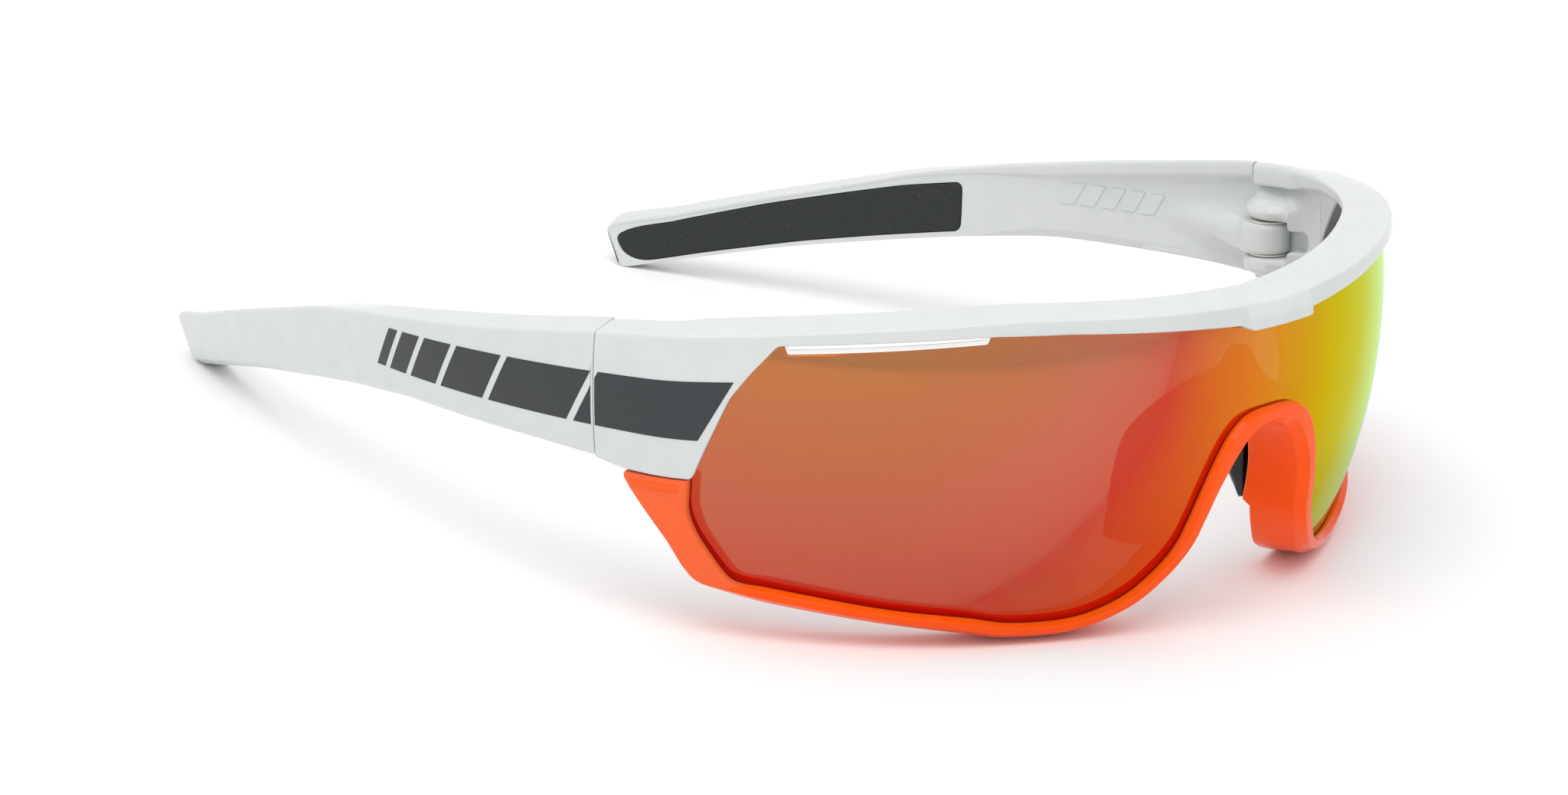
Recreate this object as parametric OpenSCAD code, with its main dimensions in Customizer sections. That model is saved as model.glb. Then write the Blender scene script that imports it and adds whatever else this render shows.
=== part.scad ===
// Wraparound sport sunglasses: one mirrored shield lens in a browline frame,
// a snap-in lower rim, and two folding temples on screw hinges. Millimetres.
// The glasses stand on a table: +Z is up, -Y is the way the wearer looks,
// +X is the wearer's left. The origin is the middle of the footprint, on the table.
// The frame is drawn on a curved outer face: s runs around the face from the
// middle of the brow, z is the height, and n is the depth behind that face.

/* [Face] */
// Radius of the outer face over the lens
face_r = 76.2; // [75.6:0.1:76.8]
// Turn of the lens arc before the frame bends back to the temple
lens_turn = 60.5; // [60:0.1:61]
// Height of the middle of the face above the bridge
face_mid_z = 4.7; // [4.2:0.1:5.2]

/* [Lens] */
// Depth of the lens front behind the outer face
lens_n = 1.4; // [1.35:0.01:1.45]
// Thickness of the lens
lens_t = 2.2; // [1.8:0.1:2.25]

/* [Hinge] */
// Radius of the hinge barrel
barrel_r = 3.1; // [2.9:0.05:3.15]
// Radius of the hinge screw's shank
shank_r = 0.75; // [0.7:0.05:0.8]
// Radial running clearance between the screw and its sleeve
run_gap = 0.04; // [0.02:0.01:0.08]

/* [Temple] */
// Distance around the face from the middle of the brow to the temple joint
seam_s = 95; // [95:0.1:95.2]
// Distance around the face to the lower corner of the temple's end
tip_s = 201.2; // [200.8:0.1:202]

/* [Stance] */
// Backward pitch of the glasses standing on the rim and the temple ends
rest_pitch = 5.94; // [5.9:0.01:6]

/* [Hidden] */

white = [0.90, 0.90, 0.89];
orange = [0.95, 0.33, 0.08];
black = [0.09, 0.09, 0.10];
steel = [0.70, 0.71, 0.73];
brass = [0.78, 0.62, 0.30];
nylon = [0.85, 0.85, 0.80];
mirror_tint = [0.80, 0.38, 0.18, 0.55];

// Placing of the standing glasses on the row's axes
stand_back = 76.628;
stand_up = 28.78;

// Radii and headings of the arcs that follow the lens arc
corner_r = 17;
corner_turn = 82;
side_r = 132;
bow_s = 140;
bow_r = 560;
mid_y = face_r - 1.4;

// Lengths around the face where one arc hands over to the next
rad = PI / 180;
lens_end_s = face_r * lens_turn * rad;
corner_end_s = lens_end_s + corner_r * (corner_turn - lens_turn) * rad;
bow_turn = corner_turn + (bow_s - corner_end_s) / side_r / rad;

// Centre of each arc of the plan curve
lens_c = [0, mid_y];
corner_c = lens_c + (face_r - corner_r) * [sin(lens_turn), -cos(lens_turn)];
side_c = corner_c + (corner_r - side_r) * [sin(corner_turn), -cos(corner_turn)];
bow_c = side_c + (side_r - bow_r) * [sin(bow_turn), -cos(bow_turn)];

// Heading of the plan curve at length s
function heading(s) =
    s < lens_end_s ? s / face_r / rad :
    s < corner_end_s ? lens_turn + (s - lens_end_s) / corner_r / rad :
    s < bow_s ? corner_turn + (s - corner_end_s) / side_r / rad :
    bow_turn + (s - bow_s) / bow_r / rad;

// Centre and radius of the arc that carries length s
function arc_c(s) =
    s < lens_end_s ? lens_c : s < corner_end_s ? corner_c : s < bow_s ? side_c : bow_c;
function arc_r(s) =
    s < lens_end_s ? face_r : s < corner_end_s ? corner_r : s < bow_s ? side_r : bow_r;

// How far the face at depth n lies inside its tallest line, at height z
function depth(z, n) =
    face_r - sqrt((face_r - n) * (face_r - n) - (z - face_mid_z) * (z - face_mid_z));

// Point of the face: length s (negative on the wearer's right), height z, depth n
function face(s, z, n) =
    let (u = abs(s), a = heading(u), r = arc_r(u) - depth(z, n), c = arc_c(u))
    [sign(s) * (c[0] + r * sin(a)), c[1] - r * cos(a), z];

// Straight-line table value, and the same value with its corners rounded over width w
function at(table, s) = lookup(s, table);
function soft(table, s, w) =
    (at(table, s - w) + 2 * at(table, s - w / 2) + 3 * at(table, s)
     + 2 * at(table, s + w / 2) + at(table, s + w)) / 9;

// Smooth curve through a list of rows (Catmull-Rom), with k steps per span
function row(rows, i) = rows[max(0, min(len(rows) - 1, i))];
function blend(a, b, c, d, t) =
    0.5 * (2 * b + (c - a) * t + (2 * a - 5 * b + 4 * c - d) * t * t
           + (3 * b - a - 3 * c + d) * t * t * t);
function fine(rows, k) = [
    for (i = [0:len(rows) - 2])
        for (j = [0:(i == len(rows) - 2 ? k : k - 1)])
            blend(row(rows, i - 1), row(rows, i), row(rows, i + 1), row(rows, i + 2), j / k)
];

// Height of the ridge along the top of the frame and the temple
ridge_z = [[0, 13.4], [20, 14.2], [40, 15.3], [60, 14.8], [80, 13.9], [95, 12.6],
           [114, 10.1], [139, 7.3], [154, 5.1], [163, 3.1], [178, -0.3], [192, -3.7],
           [201, -6.2], [205, -7.3]];
// Height of the lower edge of the brow and of the plate that carries the hinge
brow_low_z = [[0, 10.3], [7, 10.3], [7.6, 10.8], [22.7, 12.3], [33.6, 13.2], [43.6, 13.6],
              [57.8, 13.3], [70.3, 12.9], [73.6, 9.4], [76.1, 6.3], [78.7, 0.8],
              [80.2, -2.5], [80.9, -4.2], [83.2, -4.2], [86.5, -4.15], [90.8, -4.0],
              [96, -3.1]];
// Height of the lens's top edge, low along the vent
lens_top_z = [[0, 12.4], [13, 12.7], [22.7, 13.1], [33.6, 13.8], [43.6, 14.0], [44.6, 12.6],
              [69.0, 11.8], [70.0, 13.1], [71.5, 12.5], [75.5, 9.2], [78.2, 6.1], [80.5, 1.5],
              [82.1, -2.5], [82.9, -5.6], [83.1, -7.0]];
// Height of the temple's lower edge
temple_low_z = [[95, -3.1], [103.4, -2.6], [131, -2.4], [145, -3.6], [155.7, -5.1],
                [165, -6.5], [175, -8.1], [189.5, -11.0], [200.5, -13.3], [206, -14.5]];

// Lower rim, from its tail under the plate to the middle of the nose arch:
// s and z of the edge on the lens, then s and z of the free edge
rim = [[81.4, -4.35, 90.8, -4.35], [81.6, -6.2, 91.0, -5.2], [81.8, -8.2, 89.4, -7.6],
       [81.3, -10.3, 87.2, -10.5], [79.9, -12.9, 85.3, -13.0], [77.9, -16.0, 83.4, -15.9],
       [76.6, -17.5, 81.6, -17.8], [75.0, -18.1, 78.5, -19.1], [72.0, -18.5, 73.6, -20.4],
       [66.1, -19.6, 67.0, -21.7], [55.9, -21.6, 56.8, -23.6], [45.1, -23.3, 45.8, -25.5],
       [38.3, -24.6, 38.6, -26.8], [28.9, -24.8, 28.4, -27], [21.9, -23, 20, -24.8],
       [17.4, -20, 14.6, -20.9], [14.5, -16.7, 11.5, -17.2],
       [13, -13, 10, -13.5], [11.7, -9.5, 8.6, -10.2],
       [10.1, -6, 6.9, -7.4], [8.3, -3.2, 5.2, -5.2],
       [6.4, -1.5, 3.8, -4], [4.5, -0.7, 2.5, -3.4],
       [2.4, -0.4, 1.2, -3.1], [0, -0.35, 0, -3]];

// How far the lens reaches under the rim, and the clear space around its edge
lens_bite = 1.1;
edge_gap = 0.2;
face_gap = 0.1;
lip_n = lens_n - face_gap;
back_n = lens_n + lens_t + face_gap;
rim_back_n = 5.2;

// Triangles that zip the two long sides of an end loop together (an even number of points)
function zip(n) = [
    for (k = [0:n / 2 - 2])
        for (half = [0, 1])
            half == 0 ? [k, k + 1, n - 2 - k] : [k, n - 2 - k, n - 1 - k]
];
function face_up(base, tri) = [for (p = tri) base + p];
function face_down(base, tri) = [for (i = [2:-1:0]) base + tri[i]];

// Skin of a tube of loops. Flat ends are one face; bent ends are zipped.
module loft(loops, bent = false) {
    n = len(loops[0]);
    m = len(loops);
    end = (m - 1) * n;
    sides = [
        for (i = [0:m - 2])
            for (j = [0:n - 1])
                for (half = [0, 1])
                    let (a = i * n + j, b = i * n + (j + 1) % n)
                    half == 0 ? [a, b, b + n] : [a, b + n, a + n]
    ];
    flat = [[for (j = [n - 1:-1:0]) j], [for (j = [0:n - 1]) end + j]];
    zipped = concat([for (t = zip(n)) face_down(0, t)], [for (t = zip(n)) face_up(end, t)]);
    polyhedron(points = [for (l = loops) each l],
               faces = concat(sides, bent ? zipped : flat), convexity = 10);
}

// Both halves of a list of stations: the wearer's right, the middle, the left
function both(half) = concat([for (i = [len(half) - 1:-1:1]) -half[i]], half);

// The glasses are drawn with the brow level and then stand up on the row's axes
module standing() {
    translate([0, -stand_back, stand_up]) rotate([-rest_pitch, 0, 0]) children();
}
module right_side() {
    mirror([1, 0, 0]) children();
}

/* ---------- top frame ---------- */

rail_rise = 1.0;
rail_tall = 2.4;
wall_t = 3.3;
beak_out = 0.7;
beak_half = 6.6;

// Depth of the rail along the top, shallower at the temple joint
rail_n = [[0, 6.5], [84, 6.5], [95, 5.2]];
// How far the end of the rail is cut forward, so that the temple can fold
rail_cut = 0.45;

// Stations along the brow: closer together where the outline is steep
brow_half = concat([0, 3, 6, 6.6, 7.3, 8.3], [for (s = [11:3.2:43]) s], [43.9, 44.8],
                   [for (s = [48:3.4:68.4]) s], [for (s = [69.6:0.8:82.8]) s],
                   [83.4, 83.9, 85, 87, 89, 91, 93, seam_s]);

function top_section(s) =
    let (u = abs(s), zt = soft(ridge_z, u, 3), zl = soft(brow_low_z, u, 0.7),
         d = at(rail_n, u), beak = beak_out * (u < beak_half ? 1 : u < 7.4 ? 0.3 : 0),
         zr = max(zl + 0.4, zt - rail_tall),
         zg = u > 83.5 || (u > 43.6 && u < 69) ? zl + 0.12
            : max(zl + 0.12, soft(lens_top_z, u, 0.7) + 2 * edge_gap),
         wn = u > 83.5 ? wall_t : back_n,
         e = max(0, (u - 90) / (seam_s - 90)) * rail_cut)
    [[zl, -beak, 0], [zl + 0.2 * (zt - zl), -beak, 0], [zl + 0.4 * (zt - zl), -beak, 0],
     [zl + 0.6 * (zt - zl), -beak, 0], [zl + 0.8 * (zt - zl), -0.5 * beak, 0], [zt, 0, 0], [zt + rail_rise, d, e * d],
     [zr, d, e * d], [zr - 0.3, wn, 0], [0.5 * (zr - 0.3 + zg), wn, 0], [zg, wn, 0],
     [zg, lip_n, 0], [0.5 * (zg + zl), lip_n, 0], [zl, lip_n, 0]];

module brow_body() {
    loft([
        for (s = both(brow_half))
            [for (p = top_section(s)) face(s - sign(s) * p[2], p[0], p[1])]
    ], bent = true);
}

/* ---------- hinge ---------- */

// Hinge axis, in plan, and the heights of the barrel from bottom to top
hinge = [64.2, 48.35];
ear_low = -1.6;
ear_top = 9.0;
knuckle_low = 1.31;
knuckle_top = 5.69;
washer_t = 0.25;
slip = 0.03;
fit_gap = 0.01;
ear_in_low = knuckle_low - washer_t - 2 * slip;
ear_in_top = knuckle_top + washer_t + 2 * slip;
sleeve_r = 1.3;
insert_r = 1.3;
insert_low = 6.4;
insert_top = 8.6;
head_r = 1.45;
head_t = 0.9;
bore_r = shank_r + run_gap;

module at_hinge() {
    translate([hinge[0], hinge[1], 0]) children();
}
module post(r, low, top) {
    translate([0, 0, low]) cylinder(r = r, h = top - low, $fn = 64);
}

// Block behind the plate that carries the two ears, tapering towards the lens
function half_barrel(from, to) =
    [for (a = [from:15:to]) hinge + barrel_r * [cos(a), sin(a)]];
module ear_block() {
    translate([0, 0, ear_low])
        linear_extrude(height = ear_top - ear_low)
            polygon(concat(half_barrel(45, 180), [[65.3, 39.2], [66.6, 38.6], [67.6, 50.9]]));
}
// Space between the ears for the knuckle, and the window in front of it
module knuckle_space() {
    at_hinge() {
        post(barrel_r + 0.15, ear_in_low, ear_in_top);
        translate([-8, -0.1, ear_in_low])
            cube([8 + barrel_r + 0.1, 6, ear_in_top - ear_in_low]);
        translate([-8, -5.2, ear_in_low]) cube([8, 6, ear_in_top - ear_in_low]);
        translate([-8, -7.4, 2.6]) cube([10.2, 6, 2.4]);
    }
}
// Stepped bore for the screw's head, the screw and the threaded insert
module screw_bore() {
    at_hinge() {
        post(head_r + 0.05, ear_low - 1, ear_low + head_t);
        post(bore_r, ear_low, insert_top);
        post(insert_r + fit_gap, insert_low, insert_top);
    }
}

module half_hinge_cuts() {
    knuckle_space();
    screw_bore();
    at_peg() post(peg_r + 0.03, peg_low, peg_top + 0.1);
}

module top_frame() {
    color(white) standing() difference() {
        union() {
            brow_body();
            ear_block();
            right_side() ear_block();
        }
        half_hinge_cuts();
        right_side() half_hinge_cuts();
    }
}

/* ---------- lower frame ---------- */

peg_r = 0.7;
peg_low = -6;
peg_top = -1.9;
peg_place = face(86.6, -4, 1.75);

// Depth of the flange behind the free edge, deepest beside the nose
flange_n = [[0, 5.6], [4, 6.2], [7, 8.3], [11.4, 8.5], [11.6, 7.4], [14.6, 7.2], [19.5, 6.9],
            [22, 6.4], [28, 5.6], [40, 5.35], [95, 5.35]];
flange_t = 1.5;

module at_peg() {
    translate([peg_place[0], peg_place[1], 0]) children();
}

function rim_section(r) =
    let (a = [r[0], r[1]], b = [r[2], r[3]], w = norm(b - a), out = (b - a) / w,
         f = at(flange_n, r[2]), groove = lens_bite + edge_gap)
    [for (q = [[0, 0], [w / 2, 0], [w - 0.35, 0], [w, 0.35], [w, f], [w - flange_t, f],
               [w - flange_t, rim_back_n], [-0.4, rim_back_n], [-0.4, back_n],
               [groove, back_n], [groove, lip_n], [0, lip_n]])
        face(a[0] + q[0] * out[0], a[1] + q[0] * out[1], q[1])];

module lower_frame() {
    color(orange) standing() {
        loft(mirrored([for (r = fine(rim, 3)) rim_section(r)]));
        at_peg() post(peg_r, peg_low, peg_top);
        right_side() at_peg() post(peg_r, peg_low, peg_top);
    }
}

/* ---------- lens ---------- */

// Lower edge of the lens: the rim's edge moved outwards by the bite
lens_low = [for (r = fine(rim, 3))
    let (out = ([r[2], r[3]] - [r[0], r[1]]) / norm([r[2], r[3]] - [r[0], r[1]]))
    [r[0] + lens_bite * out[0], r[1] + lens_bite * out[1]]];
lens_low_z = [for (i = [len(lens_low) - 1:-1:1]) if (lens_low[i][1] < -7.5 || lens_low[i][0] < 30)
    lens_low[i]];
lens_half = concat([0, 1.5, 3, 4.5, 6], [for (s = [7:0.6:16]) s], [17, 18.5, 20, 22, 25],
                   [for (s = [28:3:43]) s], [43.9, 44.8], [for (s = [48:3.4:72]) s],
                   [for (s = [74:0.9:82.6]) s]);
lens_rows = 7;

function lens_section(s) =
    let (u = abs(s), top = soft(lens_top_z, u, 0.7), low = at(lens_low_z, u))
    concat([for (i = [0:lens_rows]) face(s, low + (top - low) * i / lens_rows, lens_n)],
           [for (i = [lens_rows:-1:0]) face(s, low + (top - low) * i / lens_rows, lens_n + lens_t)]);

module lens() {
    color(mirror_tint) standing() loft([for (s = both(lens_half)) lens_section(s)]);
}

/* ---------- nose piece ---------- */

// Saddle behind the arch, from its middle to the foot of the left pad: x and z of
// its nose side, its width away from the nose, its back edge, its lap over the flange
saddle = [[0, 0.4, 6.4, 10, 0], [3.4, -0.3, 3.0, 11.2, 0.3], [6.2, -2.6, 3.9, 13.6, 0.9],
          [8.5, -5.8, 7.0, 15.8, 1.4], [10.3, -9.6, 8.6, 16.0, 1.5], [11.9, -13.4, 7.0, 15.5, 1.4],
          [13.2, -16.4, 3.8, 15.0, 1.0], [13.6, -17.8, 2.4, 14.8, 0.6]];
saddle_n = 5.35;
flange_clear_n = 9.75;
wire_r = 0.5;
wire_bend_r = 10.1;
wire_mid = [0, 7.4, -8.4];
wire_turn = 150;

// How far back a point at x and z lies when its depth behind the lens arc is n
function behind(x, z, n) =
    mid_y - sqrt((face_r - n) * (face_r - n) - x * x - (z - face_mid_z) * (z - face_mid_z));

function saddle_dir(rows, i) =
    let (v = row(rows, i + 1) - row(rows, i - 1), d = [v[0], v[1]])
    i == 0 ? [1, 0] : d / norm(d);

function saddle_section(rows, i) =
    let (q = rows[i], t = saddle_dir(rows, i), o = [-t[1], t[0]], w = q[2], back = q[3], g = q[4],
         step = behind(q[0], q[1], flange_clear_n), front = behind(q[0], q[1], saddle_n))
    [for (p = [[0.1, 0, front], [0.5 * w, 0, 0], [w - 0.7, 0, 0], [w, 0.8, 0], [w - 0.5, 2.4, 0],
               [0.5 * w + 0.6, 0.42 * (back - front), 0],
               [2.4, back - front - 1.2, 0], [1.3, back - front - 0.1, 0],
               [0.2 - 0.6 * g, back - front - 0.3, 0], [-g, 0.6 * (back - step) + step - front, 0],
               [0.1 - g, step - front + 0.05, 0], [0.1, step - front, 0]])
        let (x = q[0] + p[0] * o[0], z = q[1] + p[0] * o[1])
        [x, (p[1] < 1 ? behind(x, z, saddle_n) : front) + p[1], z]];

function flip_x(loop) = [for (p = loop) [-p[0], p[1], p[2]]];
// A left half of loops that ends on the mirror plane, carried on to the right side
function mirrored(loops) =
    concat(loops, [for (i = [len(loops) - 2:-1:0]) flip_x(loops[i])]);
function reversed(list) = [for (i = [len(list) - 1:-1:0]) list[i]];

// Bent stiffening wire inside the saddle
module wire(r) {
    translate(wire_mid)
        rotate([90, 0, 0])
            rotate([0, 0, 90 - wire_turn / 2])
                rotate_extrude(angle = wire_turn, $fn = 96)
                    translate([wire_bend_r, 0]) circle(r = r, $fn = 32);
}

module nose_piece() {
    rows = fine(saddle, 3);
    color(black) standing() difference() {
        loft(reversed(mirrored(reversed([for (i = [0:len(rows) - 1]) saddle_section(rows, i)]))));
        wire(wire_r + fit_gap);
    }
}
module nose_wire() {
    color(steel) standing() wire(wire_r);
}

/* ---------- temples ---------- */

seam_gap = 0.12;
rail_chamfer = 0.35;
wall_n = [[95, 3.3], [120, 3.5], [143, 4.2], [175, 4.1], [208, 3.9]];
temple_rail_n = [[95, 5.2], [120, 4.9], [145, 4.3], [175, 4.2], [208, 4.0]];
temple_rail_z = [[95, 2.3], [132, 2.0], [146, 0.8], [156, 0.25], [208, 0.25]];
temple_rise = [[95, 1.2], [120, 1.1], [150, 0.1], [165, -0.3], [208, -0.4]];
grip_top_z = [[146, 4.3], [155.6, 3.4], [165.6, 1.5], [177.4, -0.9], [190.5, -4.2], [196, -5.9],
              [198.4, -7.3], [199.4, -8.3]];
grip_low_z = [[146, -2.9], [159, -4.8], [172, -6.9], [187.2, -9.9], [194.5, -11.6],
              [197.8, -11.4], [199.4, -10.2]];
grip_start = 146;
grip_end = 199.4;
pocket_n = 1.6;
grip_gap = 0.05;
grip_floor = 0.02;
tip_round = 2.2;
tip_slope = 0.5;
shear_s = 193.5;

temple_stations = concat([seam_s + seam_gap, 97, 99], [for (s = [102:4:142]) s],
                         [grip_start - 0.1, grip_start], [for (s = [149:3.5:191]) s],
                         [194.5, 196, 197.8, 198.4, grip_end, grip_end + 0.1, 200.1, 200.7,
                          tip_s - 0.1, tip_s]);

function tip_drop(s) =
    let (u = max(0, (s - (tip_s - tip_round)) / tip_round))
    tip_round * 0.75 * (1 - sqrt(max(0, 1 - u * u)));

function temple_section(s) =
    let (rise = at(temple_rise, s), zt = soft(ridge_z, s, 4) - tip_drop(s),
         zb = soft(temple_low_z, s, 3) + 0.5 * tip_drop(s),
         d = at(temple_rail_n, s), wn = at(wall_n, s), zr = zt + rise - at(temple_rail_z, s),
         in_pocket = s > grip_start - 0.05 && s < grip_end + 0.05,
         gt = in_pocket ? at(grip_top_z, s) : zb + 0.66 * (zt - zb),
         gb = in_pocket ? at(grip_low_z, s) : zb + 0.33 * (zt - zb),
         pn = in_pocket ? wn - pocket_n : wn - grip_floor,
         c = s < seam_s + 1 ? rail_chamfer : 0,
         shear = max(0, s - shear_s) / (tip_s - shear_s) * tip_slope)
    [for (p = [[zb, 0.7], [zb + 0.6, 0], [zb + 0.36 * (zt - zb), 0], [zb + 0.7 * (zt - zb), 0],
               [zt, 0], [zt + rise, d], [zr, d], [zr - max(0.12, d - wn), wn], [gt, wn],
               [gt, pn], [gb, pn], [gb, wn], [zb + 0.3, wn], [zb, wn - 0.6]])
        face(s + shear * (p[0] - zb) + c * max(0, p[1] - wn), p[0], p[1])];

module knuckle() {
    translate([0, 0, knuckle_low])
        linear_extrude(height = knuckle_top - knuckle_low)
            polygon(concat(half_barrel(-180, 0), [[67.4, 52.3], [67.6, 63.5], [66.2, 63.4]]));
}
module temple() {
    standing() difference() {
        union() {
            loft([for (s = temple_stations) temple_section(s)], bent = true);
            knuckle();
        }
        at_hinge() post(sleeve_r + fit_gap, knuckle_low - 1, knuckle_top + 1);
    }
}

grip_stations = concat([grip_start + grip_gap], [for (s = [149:3.5:191]) s],
                       [194.5, 196, 197.8, 198.4, grip_end - grip_gap]);
grip_proud = 0.12;

function grip_section(s) =
    let (wn = at(wall_n, s), top = at(grip_top_z, s) - grip_gap,
         low = at(grip_low_z, s) + grip_gap, base = wn - pocket_n + grip_gap,
         shear = max(0, s - shear_s) / (tip_s - shear_s) * tip_slope,
         zb = soft(temple_low_z, s, 3))
    [for (p = [[low, base], [top, base], [top, wn - 0.1],
               [top - 0.3, wn + grip_proud], [0.4 * low + 0.6 * top, wn + grip_proud],
               [0.6 * low + 0.4 * top, wn + grip_proud],
               [low + 0.3, wn + grip_proud], [low, wn - 0.1]])
        face(s + shear * (p[0] - zb), p[0], p[1])];

module grip() {
    standing() loft([for (s = grip_stations) grip_section(s)], bent = true);
}

module left_temple() { color(white) temple(); }
module right_temple() { color(white) right_side() temple(); }
module left_grip() { color(black) grip(); }
module right_grip() { color(black) right_side() grip(); }

/* ---------- hinge hardware ---------- */

slot_w = 0.32;
slot_long = 1.7;
slot_deep = 0.45;
washer_r = 2.7;
thread_gap = 0.02;

module ring(outer, inner, low, top) {
    difference() {
        post(outer, low, top);
        post(inner, low - 1, top + 1);
    }
}
module screw() {
    standing() at_hinge() difference() {
        union() {
            post(head_r, ear_low, ear_low + head_t - slip);
            post(shank_r, ear_low, insert_top - 0.3);
        }
        for (turn = [0, 90])
            rotate([0, 0, turn])
                translate([-slot_long / 2, -slot_w / 2, ear_low - 0.1])
                    cube([slot_long, slot_w, slot_deep + 0.1]);
    }
}
module sleeve() {
    standing() at_hinge() ring(sleeve_r, bore_r, knuckle_low, knuckle_top);
}
module insert() {
    standing() at_hinge() ring(insert_r, shank_r + thread_gap, insert_low + slip, insert_top - slip);
}
module washers() {
    standing() at_hinge() {
        ring(washer_r, bore_r + slip, ear_in_low + slip, knuckle_low - slip);
        ring(washer_r, bore_r + slip, knuckle_top + slip, ear_in_top - slip);
    }
}

module left_hinge_screw() { color(steel) screw(); }
module right_hinge_screw() { color(steel) right_side() screw(); }
module left_hinge_sleeve() { color(steel) sleeve(); }
module right_hinge_sleeve() { color(steel) right_side() sleeve(); }
module left_hinge_insert() { color(brass) insert(); }
module right_hinge_insert() { color(brass) right_side() insert(); }
module left_hinge_washers() { color(nylon) washers(); }
module right_hinge_washers() { color(nylon) right_side() washers(); }

top_frame();
lower_frame();
lens();
nose_piece();
nose_wire();
right_temple();
left_temple();
right_grip();
left_grip();
right_hinge_screw();
left_hinge_screw();
right_hinge_sleeve();
left_hinge_sleeve();
right_hinge_insert();
left_hinge_insert();
right_hinge_washers();
left_hinge_washers();
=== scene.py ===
"""Wraparound sport sunglasses: the looks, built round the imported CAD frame.

Shapes are drawn in millimetres on the same curved outer face as the CAD source: s runs round the
face from the middle of the brow, z is the height and n the depth behind that face. stand() then
turns them into metres in the row's frame. Every shape here rides on a CAD body.
"""

import math

import bmesh
import bpy
import numpy as np
from mathutils import Matrix, Vector


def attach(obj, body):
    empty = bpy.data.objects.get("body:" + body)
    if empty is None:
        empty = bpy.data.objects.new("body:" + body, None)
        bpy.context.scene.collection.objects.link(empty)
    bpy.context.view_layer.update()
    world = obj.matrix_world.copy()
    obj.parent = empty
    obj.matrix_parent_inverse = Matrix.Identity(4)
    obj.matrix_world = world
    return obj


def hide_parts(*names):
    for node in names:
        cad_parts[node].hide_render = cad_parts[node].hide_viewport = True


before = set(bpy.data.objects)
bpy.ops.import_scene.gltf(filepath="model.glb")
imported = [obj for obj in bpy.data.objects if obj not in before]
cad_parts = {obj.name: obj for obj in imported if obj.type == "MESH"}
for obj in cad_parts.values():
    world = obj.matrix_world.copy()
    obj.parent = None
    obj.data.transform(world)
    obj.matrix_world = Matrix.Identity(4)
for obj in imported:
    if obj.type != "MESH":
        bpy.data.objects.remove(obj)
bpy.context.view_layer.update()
MM = 0.001

# ---------- the curved outer face ----------

FACE_R = 76.2
LENS_TURN = 60.5
MID_Z = 4.7
CORNER_R = 17.0
CORNER_TURN = 82.0
SIDE_R = 132.0
BOW_S = 140.0
BOW_R = 560.0
MID_Y = FACE_R - 1.4
LENS_END = FACE_R * math.radians(LENS_TURN)
CORNER_END = LENS_END + CORNER_R * math.radians(CORNER_TURN - LENS_TURN)
BOW_TURN = CORNER_TURN + math.degrees((BOW_S - CORNER_END) / SIDE_R)
REST_PITCH = math.radians(5.94)
STAND_BACK = 76.628
STAND_UP = 28.78


def step_from(centre, radius, turn):
    """Centre of the next arc: radius is how much larger the old arc is than the new one."""
    a = math.radians(turn)
    return (centre[0] + radius * math.sin(a), centre[1] - radius * math.cos(a))


LENS_C = (0.0, MID_Y)
CORNER_C = step_from(LENS_C, FACE_R - CORNER_R, LENS_TURN)
SIDE_C = step_from(CORNER_C, CORNER_R - SIDE_R, CORNER_TURN)
BOW_C = step_from(SIDE_C, SIDE_R - BOW_R, BOW_TURN)
ARCS = [
    # start length, start heading, radius, centre
    (0.0, 0.0, FACE_R, LENS_C),
    (LENS_END, LENS_TURN, CORNER_R, CORNER_C),
    (CORNER_END, CORNER_TURN, SIDE_R, SIDE_C),
    (BOW_S, BOW_TURN, BOW_R, BOW_C),
]


def depth(z, n):
    """How far the face at depth n lies inside its tallest line, at height z."""
    return FACE_R - np.sqrt((FACE_R - n) ** 2 - (z - MID_Z) ** 2)


def face(s, z, n):
    """Points of the face for arrays of length s, height z and depth n."""
    s, z, n = np.broadcast_arrays(np.asarray(s, float), z, n)
    u = np.abs(s)
    out = np.zeros(u.shape + (3,))
    out[..., 2] = z
    inside = depth(z, n)
    for start, turn, radius, centre in ARCS:
        here = u >= start
        a = math.radians(turn) + (u - start) / radius
        x = centre[0] + (radius - inside) * np.sin(a)
        y = centre[1] - (radius - inside) * np.cos(a)
        out[..., 0] = np.where(here, x, out[..., 0])
        out[..., 1] = np.where(here, y, out[..., 1])
    out[..., 0] *= np.sign(s)
    return out


def unface(points):
    """Length s (left side), height z and depth n of drawing-frame points on the left side."""
    x, y, z = points[:, 0], points[:, 1], points[:, 2]
    s = np.zeros(len(x))
    n = np.zeros(len(x))
    for start, turn, radius, centre in ARCS:
        dx, dy = x - centre[0], centre[1] - y
        r = np.hypot(dx, dy)
        a = np.arctan2(dx, dy)
        length = start + (a - math.radians(turn)) * radius
        here = length >= start
        level = FACE_R - np.sqrt((FACE_R - (radius - r)) ** 2 + (z - MID_Z) ** 2)
        s = np.where(here, length, s)
        n = np.where(here, level, n)
    return s, z, n


def stand(points):
    """Drawing-frame millimetres to row-frame metres."""
    p = np.asarray(points, float)
    c, t = math.cos(REST_PITCH), math.sin(REST_PITCH)
    out = np.empty_like(p)
    out[..., 0] = p[..., 0]
    out[..., 1] = c * p[..., 1] + t * p[..., 2] - STAND_BACK
    out[..., 2] = -t * p[..., 1] + c * p[..., 2] + STAND_UP
    return out * MM


# ---------- curves and outlines ----------

def at(table, s):
    """Straight-line value of a two-column table."""
    rows = np.asarray(table, float)
    return np.interp(s, rows[:, 0], rows[:, 1])


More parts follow.
